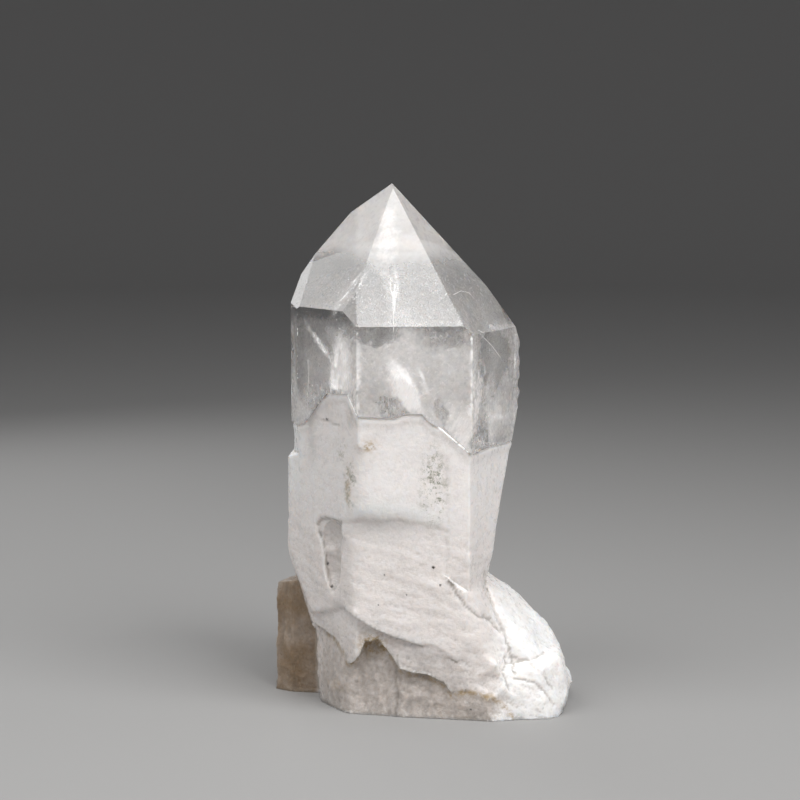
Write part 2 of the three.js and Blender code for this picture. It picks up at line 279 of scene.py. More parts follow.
class Value:
    """A shader socket that takes part in Python sums, which add Math nodes."""

    def __init__(self, graph: "Graph", socket: bpy.types.NodeSocket) -> None:
        """Wraps one output socket of the graph."""
        self.graph = graph
        self.socket = socket

    def _math(self, operation: str, *values: "Value | float") -> "Value":
        """Returns the outcome of a Math node on these values."""
        return self.graph.node("ShaderNodeMath", {"operation": operation}, *values)

    def __add__(self, other: "Value | float") -> "Value":
        """Returns self + other."""
        return self._math("ADD", self, other)

    def __radd__(self, other: float) -> "Value":
        """Returns other + self."""
        return self._math("ADD", other, self)

    def __sub__(self, other: "Value | float") -> "Value":
        """Returns self - other."""
        return self._math("SUBTRACT", self, other)

    def __rsub__(self, other: float) -> "Value":
        """Returns other - self."""
        return self._math("SUBTRACT", other, self)

    def __mul__(self, other: "Value | float") -> "Value":
        """Returns self * other."""
        return self._math("MULTIPLY", self, other)

    def __rmul__(self, other: float) -> "Value":
        """Returns other * self."""
        return self._math("MULTIPLY", other, self)

    def __truediv__(self, other: "Value | float") -> "Value":
        """Returns self / other."""
        return self._math("DIVIDE", self, other)

    def maximum(self, other: "Value | float") -> "Value":
        """Returns the larger of the two."""
        return self._math("MAXIMUM", self, other)

    def minimum(self, other: "Value | float") -> "Value":
        """Returns the smaller of the two."""
        return self._math("MINIMUM", self, other)

    def smooth(self, low: float, high: float, start: float = 0.0, end: float = 1.0) -> "Value":
        """Maps low to high onto start to end with a smooth step.

        Args:
            low: the value that gives start.
            high: the value that gives end.
            start: the outcome at and below low.
            end: the outcome at and above high.

        Returns:
            The mapped value.
        """
        settings = {"interpolation_type": "SMOOTHSTEP"}
        return self.graph.node("ShaderNodeMapRange", settings, self, low, high, start, end)


class Graph:
    """The node tree of one material."""

    def __init__(self, name: str) -> None:
        """Makes an empty material of this name."""
        self.material = bpy.data.materials.new(name)
        self.material.use_nodes = True
        self.tree = self.material.node_tree
        self.tree.nodes.clear()

    def node(self, kind: str, settings: dict | None = None, *values: object,
             output: int | str = 0, **named: object) -> Value:
        """Adds one node.

        Args:
            kind: the node's type.
            settings: its properties, set before its sockets.
            values: values or links of its first sockets, in order; None leaves one alone.
            output: the output that is returned.
            named: values or links of sockets by name, with spaces as underscores.

        Returns:
            The chosen output.
        """
        made = self.tree.nodes.new(kind)
        for key, setting in (settings or {}).items():
            setattr(made, key, setting)
        sockets = [s for s in made.inputs if s.enabled]
        for socket, value in zip(sockets, values):
            self._feed(socket, value)
        for key, value in named.items():
            name = key.replace("_", " ")
            self._feed(next(s for s in sockets if s.name == name), value)
        outputs = [s for s in made.outputs if s.enabled]
        chosen = outputs[output] if isinstance(output, int) else next(s for s in outputs if s.name == output)
        return Value(self, chosen)

    def _feed(self, socket: bpy.types.NodeSocket, value: object) -> None:
        """Links a Value to a socket, or sets the socket's own value."""
        if value is None:
            return
        if isinstance(value, Value):
            self.tree.links.new(value.socket, socket)
        elif socket.type == "RGBA" and len(value) == 3:
            socket.default_value = (*value, 1.0)
        else:
            socket.default_value = value

    def attribute(self, name: str) -> Value:
        """Returns an attribute of the mesh."""
        return self.node("ShaderNodeAttribute", {"attribute_name": name}, output="Fac")

    def place(self) -> Value:
        """Returns the Object coordinates."""
        return self.node("ShaderNodeTexCoord", None, output="Object")

    def axes(self) -> tuple[Value, Value, Value]:
        """Returns x, y and z in millimetres in the design frame."""
        split = self.node("ShaderNodeSeparateXYZ", None, self.place())
        outputs = split.socket.node.outputs
        shift = design(Vector((0.0, 0.0, 0.0)))
        return tuple(Value(self, outputs[i]) / MM + shift[i] for i in range(3))

    def stretched(self, scale: tuple[float, float, float], turn: float = 0.0) -> Value:
        """Returns Object coordinates turned about the depth axis and then stretched.

        Args:
            scale: how much finer a pattern gets along each axis.
            turn: degrees.

        Returns:
            The coordinates.
        """
        turned = self.node("ShaderNodeMapping", None, self.place(), None, (0.0, math.radians(turn), 0.0))
        return self.node("ShaderNodeVectorMath", {"operation": "MULTIPLY"}, turned, scale)

    def noise(self, size: float, detail: float = 3.0, roughness: float = 0.5, warp: float = 0.0,
              vector: Value | None = None) -> Value:
        """Adds a noise texture.

        Args:
            size: the noise's size in metres.
            detail: octaves.
            roughness: strength of the finer octaves.
            warp: distortion.
            vector: coordinates, or None for the Object coordinates.

        Returns:
            The noise from 0 to 1.
        """
        return self.node("ShaderNodeTexNoise", None, vector or self.place(), Scale=1 / size, Detail=detail,
                         Roughness=roughness, Distortion=warp)

    def mix(self, factor: Value | float, first: object, second: object) -> Value:
        """Returns a colour between first and second."""
        return self.node("ShaderNodeMix", {"data_type": "RGBA"}, factor, first, second)

    def finish(self, surface: Value, volume: Value | None = None) -> bpy.types.Material:
        """Links the output and returns the material."""
        end = self.tree.nodes.new("ShaderNodeOutputMaterial")
        self._feed(end.inputs["Surface"], surface)
        self._feed(end.inputs["Volume"], volume)
        return self.material


@dataclass(frozen=True)
class QuartzFinish:
    """Clear polished quartz above, frosted milky quartz below.

    Attributes:
        clear: tint of the clear quartz.
        frost: colour of the frosted quartz.
        grey_and_shade: colour of its darker veins, and the painted shade of its hollows, crevices and
            overhangs.
        tan_and_shade: brown of the stub and the foot; on the stub it also holds painted shade, and it is
            lighter towards the stub's top.
        ochre: colour of the iron stains.
        moss: colour of the thin greenish crust.
        dirt: colour of the dark specks.
        white_and_highlight: colour of the whitest quartz, also used for painted light on the white mass and
            painted highlights on a ledge, the left edge and a shaded band.
        ior: index of refraction of quartz.
        absorbed: what is left of light that crosses the clear quartz.
        density: how strongly it absorbs.
        milk: share of light that is scattered below the frosted surface.
        milk_reach: how far red, green and blue spread there, against each other.
        milk_depth: that spread in metres.
        bump: height of the finest grain in metres.
    """

    clear: tuple[float, float, float] = (0.99, 0.985, 0.98)
    frost: tuple[float, float, float] = (0.93, 0.885, 0.865)
    grey_and_shade: tuple[float, float, float] = (0.60, 0.57, 0.54)
    tan_and_shade: tuple[float, float, float] = (0.28, 0.195, 0.12)
    ochre: tuple[float, float, float] = (0.42, 0.28, 0.10)
    moss: tuple[float, float, float] = (0.33, 0.33, 0.26)
    dirt: tuple[float, float, float] = (0.07, 0.055, 0.045)
    white_and_highlight: tuple[float, float, float] = (0.985, 0.975, 0.965)
    ior: float = 1.544
    absorbed: tuple[float, float, float] = (0.93, 0.92, 0.91)
    density: float = 1.2
    milk: float = 0.8
    milk_reach: tuple[float, float, float] = (1.0, 0.9, 0.8)
    milk_depth: float = 0.003
    bump: float = 0.0004

    def make(self) -> bpy.types.Material:
        """Returns the finish as a material."""
        g = Graph("quartz_clear_and_frosted")
        natural = g.attribute("natural")
        bump = self._grain(g)
        clear = g.node("ShaderNodeBsdfPrincipled", None, Base_Color=self.clear,
                       Roughness=natural * 0.3 + 0.02, IOR=self.ior, Transmission_Weight=1.0, Normal=bump)
        milky = g.node("ShaderNodeBsdfPrincipled", None, Base_Color=self._colour(g),
                       Roughness=self._roughness(g), IOR=self.ior, Subsurface_Weight=self.milk,
                       Subsurface_Radius=self.milk_reach, Subsurface_Scale=self.milk_depth, Normal=bump)
        streaks = g.noise(1.0, 4, 0.66, 0.7, g.stretched((260, 260, 90), 5))
        stipple = g.noise(0.0009, 1, 0.65)
        frosted = g.attribute("whiteness") * 1.25 + (streaks - 0.5) * 1.2 + (stipple - 0.5) * 0.4
        frosted = frosted.minimum(1.0).maximum(0.0)
        factor = (frosted * natural).maximum(self._mist(g) * (1 - natural))
        surface = g.node("ShaderNodeMixShader", None, factor, clear, milky)
        volume = g.node("ShaderNodeVolumeAbsorption", None, self.absorbed, self.density)
        return g.finish(surface, volume)

    def _mist(self, g: Graph) -> Value:
        """Returns how milky the polished quartz looks just under its surface."""
        x, y, z = g.axes()
        front = y.smooth(-6, -2, 1.0, 0.0)
        sides = x.smooth(-19, -16, 1.0, 0.0).maximum(x.smooth(20, 23))
        level = z.smooth(134.5, 130, 0.18, 0.46) + z.smooth(150, 159, 0.0, 0.30)
        level = level + z.smooth(110, 99, 0.0, 0.14)
        ripple = g.node("ShaderNodeTexNoise", None, g.place(), Scale=1 / 0.008, Detail=3.0, Roughness=0.68,
                        output="Color")
        split = g.node("ShaderNodeSeparateXYZ", None, ripple).socket.node.outputs
        ragged_x = x + (Value(g, split[0]) - 0.5) * 9.0
        ragged_z = z + (Value(g, split[1]) - 0.5) * 12.0
        windows = self._blobs(g, ragged_x, ragged_z, CLEAR_WINDOWS)
        patches = self._blobs(g, ragged_x, ragged_z, BRIGHT_PATCHES)
        wisps = g.noise(1.0, 3, 0.72, 0.0, g.stretched((520, 520, 150), -25)).smooth(0.32, 0.66, 0.3, 1.3)
        level = level - sides * 0.12 + (patches * wisps - windows * 0.55) * front
        soft = g.noise(0.022, 1, 0.5)
        grain = g.noise(0.0014, 2, 0.7)
        uneven = ((soft - 0.5) * 0.4 + (grain - 0.5) * 0.36) * z.smooth(148, 156, 1.0, 0.3)
        dust = g.noise(0.0011, 2, 0.65).smooth(0.55, 0.74, 0.0, 0.2) * z.smooth(148, 156, 1.0, 0.1)
        streaks = g.noise(1.0, 2, 0.7, 0.0, g.stretched((1000, 1000, 420))).smooth(0.44, 0.60, 0.0, 0.4)
        dust = dust.maximum(streaks * windows * z.smooth(107, 114, 1.0, 0.15))
        return ((level + uneven).smooth(0.05, 1.0, 0.0, 0.95) + dust).minimum(0.95)

    def _blobs(self, g: Graph, x: Value, z: Value, ovals: Sequence[tuple[float, ...]]) -> Value:
        """Returns the strongest of some soft ovals at each place."""
        return reduce(Value.maximum, (self._blob(g, x, z, *shape) for shape in ovals))

    def _blob(self, g: Graph, x: Value, z: Value, centre_x: float, centre_z: float, across: float,
              along: float, turn: float, strength: float) -> Value:
        """Returns a soft oval patch seen from the front.

        Args:
            g: the node tree.
            x: millimetres to the right in the design frame.
            z: millimetres up.
            centre_x: x of the patch's middle.
            centre_z: z of the patch's middle.
            across: half its width in millimetres.
            along: half its length in millimetres.
            turn: degrees that its top leans to the left.
            strength: its value in the middle.

        Returns:
            The patch.
        """
        c, s = math.cos(math.radians(turn)), math.sin(math.radians(turn))
        u = (x - centre_x) * (c / across) + (z - centre_z) * (s / across)
        v = (z - centre_z) * (c / along) - (x - centre_x) * (s / along)
        return (u * u + v * v).smooth(0.0, 1.8, strength, 0.0)

    def _grain(self, g: Graph) -> Value:
        """Returns the fine grain of the natural surface as a normal."""
        fine = g.noise(0.0011, 2, 0.6)
        pits = g.noise(0.005, 4, 0.7, 0.4)
        wrinkles = g.noise(1.0, 3, 0.6, 2.4, g.stretched((140, 140, 420), -14))
        low = g.axes()[2].smooth(50, 72, 1.0, 0.2)
        height = (fine * 0.4 + pits * (0.35 + low * 0.4) + wrinkles * low * 0.3) * g.attribute("natural")
        return g.node("ShaderNodeBump", None, Strength=1.0, Distance=self.bump, Height=height)

    def _roughness(self, g: Graph) -> Value:
        """Returns a roughness that lets small facets glint."""
        return g.noise(0.0022, 2, 0.5).smooth(0.3, 0.7, 0.2, 0.55)

    def _colour(self, g: Graph) -> Value:
        """Returns the colour of the natural surface with its greys, stains and specks, and its painted shade
        and painted highlights.
        """
        veins = g.noise(0.007, 4, 0.65, 1.2)
        # Darker veins, plus painted shade in hollows, crevices, the notch and under the overhangs.
        grey_and_shade = (veins.smooth(0.5, 0.72) * 0.14 + g.attribute("shade_and_grey")).minimum(1.0)
        # The whitest quartz, with painted light and painted highlights mixed in.
        colour = g.mix(grey_and_shade, g.mix(g.attribute("white_and_highlight"), self.frost, self.white_and_highlight), self.grey_and_shade)
        # Brown stub and foot, with painted shade on the stub.
        tan_and_shade = g.attribute("tan_and_shade") * g.noise(0.012, 3, 0.6).smooth(0.2, 0.7, 0.75, 1.0)
        colour = g.mix(tan_and_shade, colour, self.tan_and_shade)
        stain = g.attribute("stain") * g.noise(0.002, 4, 0.75).smooth(0.40, 0.60)
        colour = g.mix(stain.minimum(0.9), colour, self.ochre)
        blotch = g.noise(0.0031, 4, 0.8, 0.3)
        line = g.noise(0.0027, 3, 0.7, 0.4) - 0.5
        rims = (line * line).smooth(0.0, 0.0012, 0.65, 0.0) * blotch.smooth(0.42, 0.53)
        speckle = g.attribute("speckle") * (blotch.smooth(0.47, 0.60, 0.0, 0.5) + rims)
        colour = g.mix(speckle, colour, self.moss)
        return g.mix(self._specks(g), colour, self.dirt)

    def _specks(self, g: Graph) -> Value:
        """Returns where small dark specks of dirt sit on the front."""
        x, y, z = g.axes()
        flat = g.node("ShaderNodeCombineXYZ", None, x, None, z)
        ragged = g.noise(0.0008, 2, 0.7) * 1.5
        specks = []
        for spot_x, spot_z, radius in SPECKS:
            away = g.node("ShaderNodeVectorMath", {"operation": "DISTANCE"}, flat, (spot_x, 0.0, spot_z),
                          output="Value")
            specks.append((away + ragged).smooth(radius + 0.40, radius + 0.95, 1.0, 0.0))
        return reduce(Value.maximum, specks) * y.smooth(-12, -10, 1.0, 0.0)


class Pattern(Enum):
    """How a milky sheet is broken up: the noise where it is clear and where it is densest."""

    MIST = (0.30, 0.78)
    VEIL = (0.40, 0.68)
    CLOUD = (0.24, 0.58)


@dataclass(frozen=True)
class SheetFinish:
    """A milky sheet of tiny inclusions inside the clear quartz.

    Attributes:
        name: the material's name.
        pattern: how the sheet is broken up.
        warp: how much its patches curl.
        glow: light that its specks scatter, which lamps don't reach through the faces.
        colour: its white.
        shade: its white where it is thin.
    """

    name: str
    pattern: Pattern
    warp: float = 0.6
    glow: float = 0.2
    colour: tuple[float, float, float] = (0.96, 0.95, 0.945)
    shade: tuple[float, float, float] = (0.88, 0.87, 0.865)

    def make(self) -> bpy.types.Material:
        """Returns the finish as a material."""
        g = Graph(self.name)
        sheet = g.node("ShaderNodeAttribute", {"attribute_name": "sheet"}, output="Vector")
        patches = g.noise(1.0, 5, 0.62, self.warp, sheet)
        dust = g.noise(0.0008, 1, 0.6).smooth(0.35, 0.65, 0.55, 1.2)
        alpha = (patches.smooth(*self.pattern.value) * g.attribute("edge") * dust).minimum(1.0)
        white = g.mix(patches, self.shade, self.colour)
        body = g.node("ShaderNodeBsdfPrincipled", None, Base_Color=white, Roughness=0.6, Alpha=alpha,
                      Emission_Color=self.colour, Emission_Strength=self.glow)
        return g.finish(body)


@dataclass(frozen=True)
class FlakeFinish:
    """Bright flakes and hairline cracks inside the clear quartz, in two whites, with some glow that is
    painted light.
    """

    colour: tuple[float, float, float] = (0.97, 0.965, 0.96)
    shade: tuple[float, float, float] = (0.86, 0.85, 0.84)
    glow: float = 0.5

    def make(self) -> bpy.types.Material:
        """Returns the finish as a material."""
        g = Graph("bright_flake")
        white = g.mix(g.noise(0.0016, 2, 0.6).smooth(0.3, 0.7), self.shade, self.colour)
        return g.finish(g.node("ShaderNodeBsdfPrincipled", None, Base_Color=white, Roughness=0.3,
                               Emission_Color=self.colour, Emission_Strength=self.glow))


@dataclass(frozen=True)
class FloorFinish:
    """A plain pale floor."""

    colour: tuple[float, float, float] = (0.32, 0.316, 0.312)

    def make(self) -> bpy.types.Material:
        """Returns the finish as a material."""
        g = Graph("pale_floor")
        return g.finish(g.node("ShaderNodeBsdfPrincipled", None, Base_Color=self.colour, Roughness=0.75))


def add_piece(name: str, bm: bmesh.types.BMesh, material: bpy.types.Material) -> bpy.types.Object:
    """Makes an object at the origin from a finished bmesh.

    Args:
        name: the piece's name.
        bm: its mesh, which is freed.
        material: its finish.

    Returns:
        The new object.
    """
    mesh = bpy.data.meshes.new(name)
    bm.to_mesh(mesh)
    bm.free()
    mesh.materials.append(material)
    piece = bpy.data.objects.new(name, mesh)
    bpy.context.scene.collection.objects.link(piece)
    return piece


@dataclass
class QuartzPoint:
    """The whole crystal, with flat polished faces above and a fine broken surface below.

    Attributes:
        octree_depth: fineness of the natural surface, about 0.7 mm a facet at 8.
        octree_scale: share of the octree that the crystal fills.
        soften_steps: rounds of smoothing between the ledges.
        worn_steps: further rounds where an edge has been rounded off.
        ledge_steps: rounds of smoothing along the ledges.
        ledge_angle: edges sharper than this stay.
        edge_bevel: width of the polished edges.
        flat_angle: facets of a polished face that differ by less are joined.
        crisp_angle: polished edges sharper than this are bevelled.
        crisp_length: the shortest edge that is bevelled.
        weld: corners nearer than this are merged.
        underside_margin: height below which nothing moves, so that the underside stays flat.
        grain_seed: start of the relief's patterns.
        scallops: size and depth in millimetres of the coarse and the fine hollows.
        scallop_seed: seed of the warp in their outlines, which would start from the clock.
        striae_height: height of the wavy growth lines in millimetres.
        frost_height: height of the frosted surface's grain in millimetres.
        lip_height: height of the lip just below the end of the polish in millimetres.
        step_height: height of the worn step in millimetres.
        notch_depth: further depth of the notch in millimetres.
    """

    octree_depth: int = 8
    octree_scale: float = 0.94
    soften_steps: int = 24
    worn_steps: int = 110
    ledge_steps: int = 8
    ledge_angle: float = math.radians(34)
    edge_bevel: float = 0.25 * MM
    flat_angle: float = math.radians(1.5)
    crisp_angle: float = math.radians(4)
    crisp_length: float = 4 * MM
    weld: float = 0.02 * MM
    underside_margin: float = 0.3 * MM
    grain_seed: Vector = field(default_factory=lambda: Vector((3.1, 7.7, 1.9)))
    scallops: tuple[tuple[float, float], ...] = ((9.0, 1.0), (3.6, 0.3))
    scallop_seed: int = 7
    striae_height: float = 0.22
    frost_height: float = 0.09
    lip_height: float = 0.4
    step_height: float = 0.32
    notch_depth: float = 1.0

    def build(self) -> bpy.types.Object:
        """Builds the crystal.

        Returns:
            The dressed piece.
        """
        bm = self._fine_copy()
        zone = bm.faces.layers.int.new("zone")
        self._mark_zones(bm, zone)
        self._flatten_polished(bm, zone)
        self._soften_natural(bm, zone)
        self._raise_relief(bm, zone)
        self._stay_in_box(bm)
        self._tone(bm, zone)
        bmesh.ops.triangulate(bm, faces=[f for f in bm.faces if len(f.verts) > 4])
        return add_piece("quartz_crystal", bm, QuartzFinish().make())

    def _fine_copy(self) -> bmesh.types.BMesh:
        """Returns a copy of the solid with small facets and its sharp edges kept."""
        solid = bmesh.new()
        solid.from_mesh(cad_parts[NODE].data)
        bmesh.ops.remove_doubles(solid, verts=solid.verts, dist=0.001 * MM)
        coarse = add_piece("coarse", solid, bpy.data.materials.new("coarse"))
        remesh = coarse.modifiers.new("facets", "REMESH")
        remesh.mode = "SHARP"
        remesh.octree_depth = self.octree_depth
        remesh.scale = self.octree_scale
        remesh.sharpness = 1.0
        remesh.use_remove_disconnected = False
        fine = bpy.data.meshes.new_from_object(coarse.evaluated_get(bpy.context.evaluated_depsgraph_get()))
        bpy.data.objects.remove(coarse)
        bm = bmesh.new()
        bm.from_mesh(fine)
        bpy.data.meshes.remove(fine)
        bmesh.ops.remove_doubles(bm, verts=bm.verts, dist=self.weld)
        bmesh.ops.dissolve_degenerate(bm, edges=bm.edges, dist=self.weld / 2)
        bmesh.ops.collapse(bm, edges=[e for e in bm.edges if len(e.link_faces) > 2])
        return bm

    def _mark_zones(self, bm: bmesh.types.BMesh, zone: bmesh.types.BMLayerItem) -> None:
        """Writes each face's zone."""
        for face in bm.faces:
            polished = above_polish_end(design(face.calc_center_median())) > 0.0
            face[zone] = Zone.POLISHED.value if polished else Zone.NATURAL.value

    def _flatten_polished(self, bm: bmesh.types.BMesh, zone: bmesh.types.BMLayerItem) -> None:
        """Joins the small facets of each polished face and bevels the edges between the faces."""
        verts = [v for v in bm.verts if all_in(Zone.POLISHED, zone, v.link_faces)]
        edges = [e for e in bm.edges if all_in(Zone.POLISHED, zone, e.link_faces)]
        bmesh.ops.dissolve_limit(bm, angle_limit=self.flat_angle, verts=verts, edges=edges)
        crisp = [
            e for e in bm.edges
            if len(e.link_faces) == 2 and all_in(Zone.POLISHED, zone, e.link_faces)
            and e.calc_face_angle(0.0) > self.crisp_angle and e.calc_length() > self.crisp_length
        ]
        log.info("crisp edges %d", len(crisp))
        bmesh.ops.bevel(bm, geom=crisp, offset=self.edge_bevel, segments=2, profile=0.5, affect="EDGES",
                        material=-1, clamp_overlap=True)

    def _soften_natural(self, bm: bmesh.types.BMesh, zone: bmesh.types.BMLayerItem) -> None:
        """Rounds the broken surfaces between the ledges."""
        soft = [
            v for v in bm.verts
            if self._free(v, zone)
            and (self._worn(v) or self._blunt(v)
                 or all(e.calc_face_angle(0.0) < self.ledge_angle for e in v.link_edges))
        ]
        self._smooth_ledges(bm, zone)
        worn = [v for v in soft if self._worn(v)]
        for verts, steps in ((soft, self.soften_steps), (worn, self.worn_steps)):
            for _ in range(steps):
                bmesh.ops.smooth_vert(bm, verts=verts, factor=0.5, use_axis_x=True, use_axis_y=True,
                                      use_axis_z=True)

    def _free(self, vert: bmesh.types.BMVert, zone: bmesh.types.BMLayerItem) -> bool:
        """Returns whether a corner is inside the natural surface and clear of the underside."""
        return vert.co.z > self.underside_margin and all_in(Zone.NATURAL, zone, vert.link_faces)

    def _worn(self, vert: bmesh.types.BMVert) -> bool:
        """Returns whether a ledge or edge has been rounded off at this corner."""
        p = design(vert.co)
        if p.y < -22 and any(x0 < p.x < x1 and z0 < p.z < z1 for x0, x1, z0, z1 in WORN_STRETCHES):
            return True
        return p.y < -2 and -36 < p.x < -12 and p.z < along_line(SHELL_LINE, p.x) - 2

    def _blunt(self, vert: bmesh.types.BMVert) -> bool:
        """Returns whether this corner is on the blunt end of the white mass or of the ridge."""
        p = design(vert.co)
        return (p.x > 47 and 9 < p.z < 26) or (p.x < -21 and p.y < -8 and 28 < p.z < 39)

    def _smooth_ledges(self, bm: bmesh.types.BMesh, zone: bmesh.types.BMLayerItem) -> None:
        """Takes the small steps out of the ledges along their length."""
        along = {}
        for vert in bm.verts:
            sharp = [e for e in vert.link_edges if e.calc_face_angle(0.0) >= self.ledge_angle]
            ledge = len(sharp) == 2 and self._free(vert, zone)
            if ledge and not self._worn(vert) and not self._blunt(vert):
                along[vert] = [e.other_vert(vert) for e in sharp]
        for _ in range(self.ledge_steps):
            moved = {v: v.co.lerp((a.co + b.co) / 2, 0.5) for v, (a, b) in along.items()}
            for vert, co in moved.items():
                vert.co = co

    def _scallops(self, p: Vector, size: float) -> float:
        """Returns hollows that meet in sharp ridges, from -0.6 in a hollow to 0.4 on a ridge."""
        warped = p + 0.35 * size * noise.noise_vector(p / (1.6 * size))
        distances, _ = noise.voronoi(warped / size)
        return min(1.0, distances[0]) ** 2 - 0.6

    def _relief(self, p: Vector) -> float:
        """Returns how far the surface stands out at a design place, in millimetres."""
        q = p + self.grain_seed
        low = fall(58, 70, p.z)
        foot = fall(16, 34, p.z)
        flare = smoothstep(24, 34, p.x) * fall(42, 50, p.z)
        rough = foot * (1 - 0.5 * flare) + 0.3 * flare
        hollows = sum(depth * self._scallops(q, size) for size, depth in self.scallops)
        broken = (0.10 + 0.90 * rough) * hollows
        wavy = Vector((q.x, q.y, 3.4 * (q.z + 0.28 * q.x)))
        striae = self.striae_height * noise.fractal(wavy / 9.0, 0.8, 2.1, 3)
        grain = (0.08 + 0.10 * rough) * noise.fractal(q / 2.0, 0.7, 2.2, 3)
        frosted = self.frost_height * noise.fractal(q / 3.0, 0.7, 2.2, 3)
        raised = low * (broken + striae + grain) + (1 - low) * frosted
        below = max(0.0, -above_polish_end(p))
        lip = self.lip_height * bell(below, 1.2, 1.5)
        return (raised + lip + self._front_relief(p)) * smoothstep(0.0, 1.1, below)

    def _front_relief(self, p: Vector) -> float:
        """Returns the relief of single features on the front, in millimetres."""
        front = fall(-16, -8, p.y)
        if front == 0.0:
            return 0.0
        step = smoothstep(46, 50, p.z) * fall(84, 94, p.z) * smoothstep(-12, 12, p.x)
        wobble = 0.9 * noise.noise(Vector((0.0, 5.0, p.z / 5.0)))
        wobble += 0.3 * noise.noise(Vector((0.0, 9.0, p.z / 1.6)))
        total = -self.step_height * step * fall(13.2, 14.6, p.x + wobble)
        over = p.z + 0.8 * noise.noise(p / 3.0) - along_line(STEP_LINE, p.x)
        lip = smoothstep(-0.6, 0.6, over) * fall(1, 18, over) * fall(12, 16, p.x)
        total += self.step_height * lip * smoothstep(-25, -21, p.x)
        total -= self.notch_depth * smoothstep(-0.3, 0.7, inside_notch(p) + 0.4 * noise.noise(p / 2.2))
        for line, depth, width in CREVICES:
            away = line_distance(line, p.x + 0.5 * noise.noise(p / 2.0), p.z)
            total -= depth * bell(away, 0.0, width)
        return front * total

    def _raise_relief(self, bm: bmesh.types.BMesh, zone: bmesh.types.BMLayerItem) -> None:
        """Moves the natural surface along its normals by the relief."""
        bm.normal_update()
        noise.seed_set(self.scallop_seed)
        free = [v for v in bm.verts if self._free(v, zone)]
        shifts = [(v, v.normal * self._relief(design(v.co)) * MM) for v in free]
        for vert, shift in shifts:
            vert.co += shift

    def _tone(self, bm: bmesh.types.BMesh, zone: bmesh.types.BMLayerItem) -> None:
        """Writes what the finish reads: natural, whiteness, cavity, tan, stain, speckle and snow, with
        painted shade in cavity and on the stub, and painted highlights in snow.
        """
        names = ("whiteness", "shade_and_grey", "tan_and_shade", "stain", "speckle", "white_and_highlight")
        layers = {name: bm.verts.layers.float.new(name) for name in names}
        for vert in bm.verts:
            if any(f[zone] == Zone.NATURAL.value for f in vert.link_faces):
                for name, value in self._tones(design(vert.co), vert).items():
                    vert[layers[name]] = value
        natural = bm.loops.layers.float.new("natural")
        for face in bm.faces:
            is_natural = face[zone] == Zone.NATURAL.value
            face.smooth = is_natural
            for loop in face.loops:
                loop[natural] = 1.0 if is_natural else 0.0

    def _tones(self, p: Vector, vert: bmesh.types.BMVert) -> dict[str, float]:
        """Works out the tones of the natural surface at one corner.

        Args:
            p: its design place.
            vert: the corner, whose edges show how hollow the surface is there.

        Returns:
            Each tone from 0 to 1.
        """
        front = fall(-14, -6, p.y)
        under_shell = front * smoothstep(-0.5, 1.0, along_line(SHELL_LINE, p.x) - p.z)
        under_ridge = front * smoothstep(-0.5, 1.5, along_line(RIDGE_LINE, p.x) - p.z)
        white_mass = smoothstep(26, 34, p.x) * fall(44, 50, p.z)
        elsewhere = 1 - white_mass
        stub = fall(-33, -30, p.x) * fall(41, 44, p.z) * smoothstep(-3, 2, p.y)
        # How hollow the surface is at this corner, which is turned into painted shade.
        bend = sum((e.other_vert(vert).co - vert.co).dot(vert.normal) for e in vert.link_edges)
        hollow = bend / max(len(vert.link_edges), 1) / (0.06 * MM)
        hollow *= smoothstep(0.4, 1.6, -above_polish_end(p))
        crevice = max(bell(line_distance(line, p.x, p.z), 0.0, 1.3 * width) for line, _, width in CREVICES)
        # Painted shade in the notch, darkest along its right wall and under its top.
        notch = front * smoothstep(-0.4, 0.6, inside_notch(p))
        notch *= 0.35 + 0.6 * bell(along_line(NOTCH_RIGHT, p.z), p.x, 2.4) + 0.3 * smoothstep(62, 66, p.z)
        lower_left = fall(-36, -22, p.x) * fall(96, 112, p.z)
        lobe = front * oval(p, *LOBE)
        semi_clear = front * bell(p.x, -33.2, 2.8) * smoothstep(80, 90, p.z)
        # A painted highlight along the glassy left edge.
        left_edge_highlight = fall(-38.2, -34.2, p.x) * smoothstep(66, 84, p.z) * fall(0, 8, p.y)
        # Painted light that evens out the shaded band just above the step's lip.
        painted_light_band = front * bell(p.z - along_line(STEP_LINE, p.x), 3.5, 3.0)
        painted_light_band *= smoothstep(-23, -19, p.x) * fall(13, 18, p.x)
        rim = bell(along_line(SHELL_LINE, p.x) - p.z, 0.8, 1.0)
        smudge = max(oval(p, *mark) for mark in SMUDGES)
        whiteness = 0.94 - 0.10 * under_ridge - 0.12 * under_shell - 0.12 * stub - 0.05 * lower_left
        whiteness += 0.2 * white_mass - 0.62 * semi_clear - 0.22 * notch - 0.30 * lobe
        # Painted shade: hollows, the parts under the shell and the ridge, crevices and the notch are
        # darkened in the colour; the lobe gets a greyer tone.
        shade_and_grey = 0.32 * hollow + 0.12 * under_shell * elsewhere + 0.06 * under_ridge
        shade_and_grey += 0.35 * front * crevice + 0.36 * notch + 0.2 * lobe
        base = 0.22 * under_shell + 0.11 * fall(10, 34, p.z) + 0.11 * fall(50, 75, p.z)
        tones = {
            "whiteness": whiteness,
            "shade_and_grey": shade_and_grey,
            # The stub's brown holds painted shade and lightens towards its top; the foot gets browner under
            # the shell and towards the bottom.
            "tan_and_shade": (1.2 - 0.010 * p.z) * stub + base * elsewhere,
            "stain": front * (1.6 * oval(p, *STAINED_POCKET) + 0.8 * rim + 0.9 * smudge),
            "speckle": front * max(oval(p, *patch) for patch in MOSS_FIELDS),
            # Whitest quartz on the white mass, partly painted light there, and painted highlights on the
            # ledge, the left edge and the band above the step.
            "white_and_highlight": 0.45 * white_mass + 0.8 * oval(p, *LEDGE_HIGHLIGHT) + 0.6 * left_edge_highlight + 0.45 * painted_light_band,
        }
        return {name: min(1.0, max(0.0, tone)) for name, tone in tones.items()}

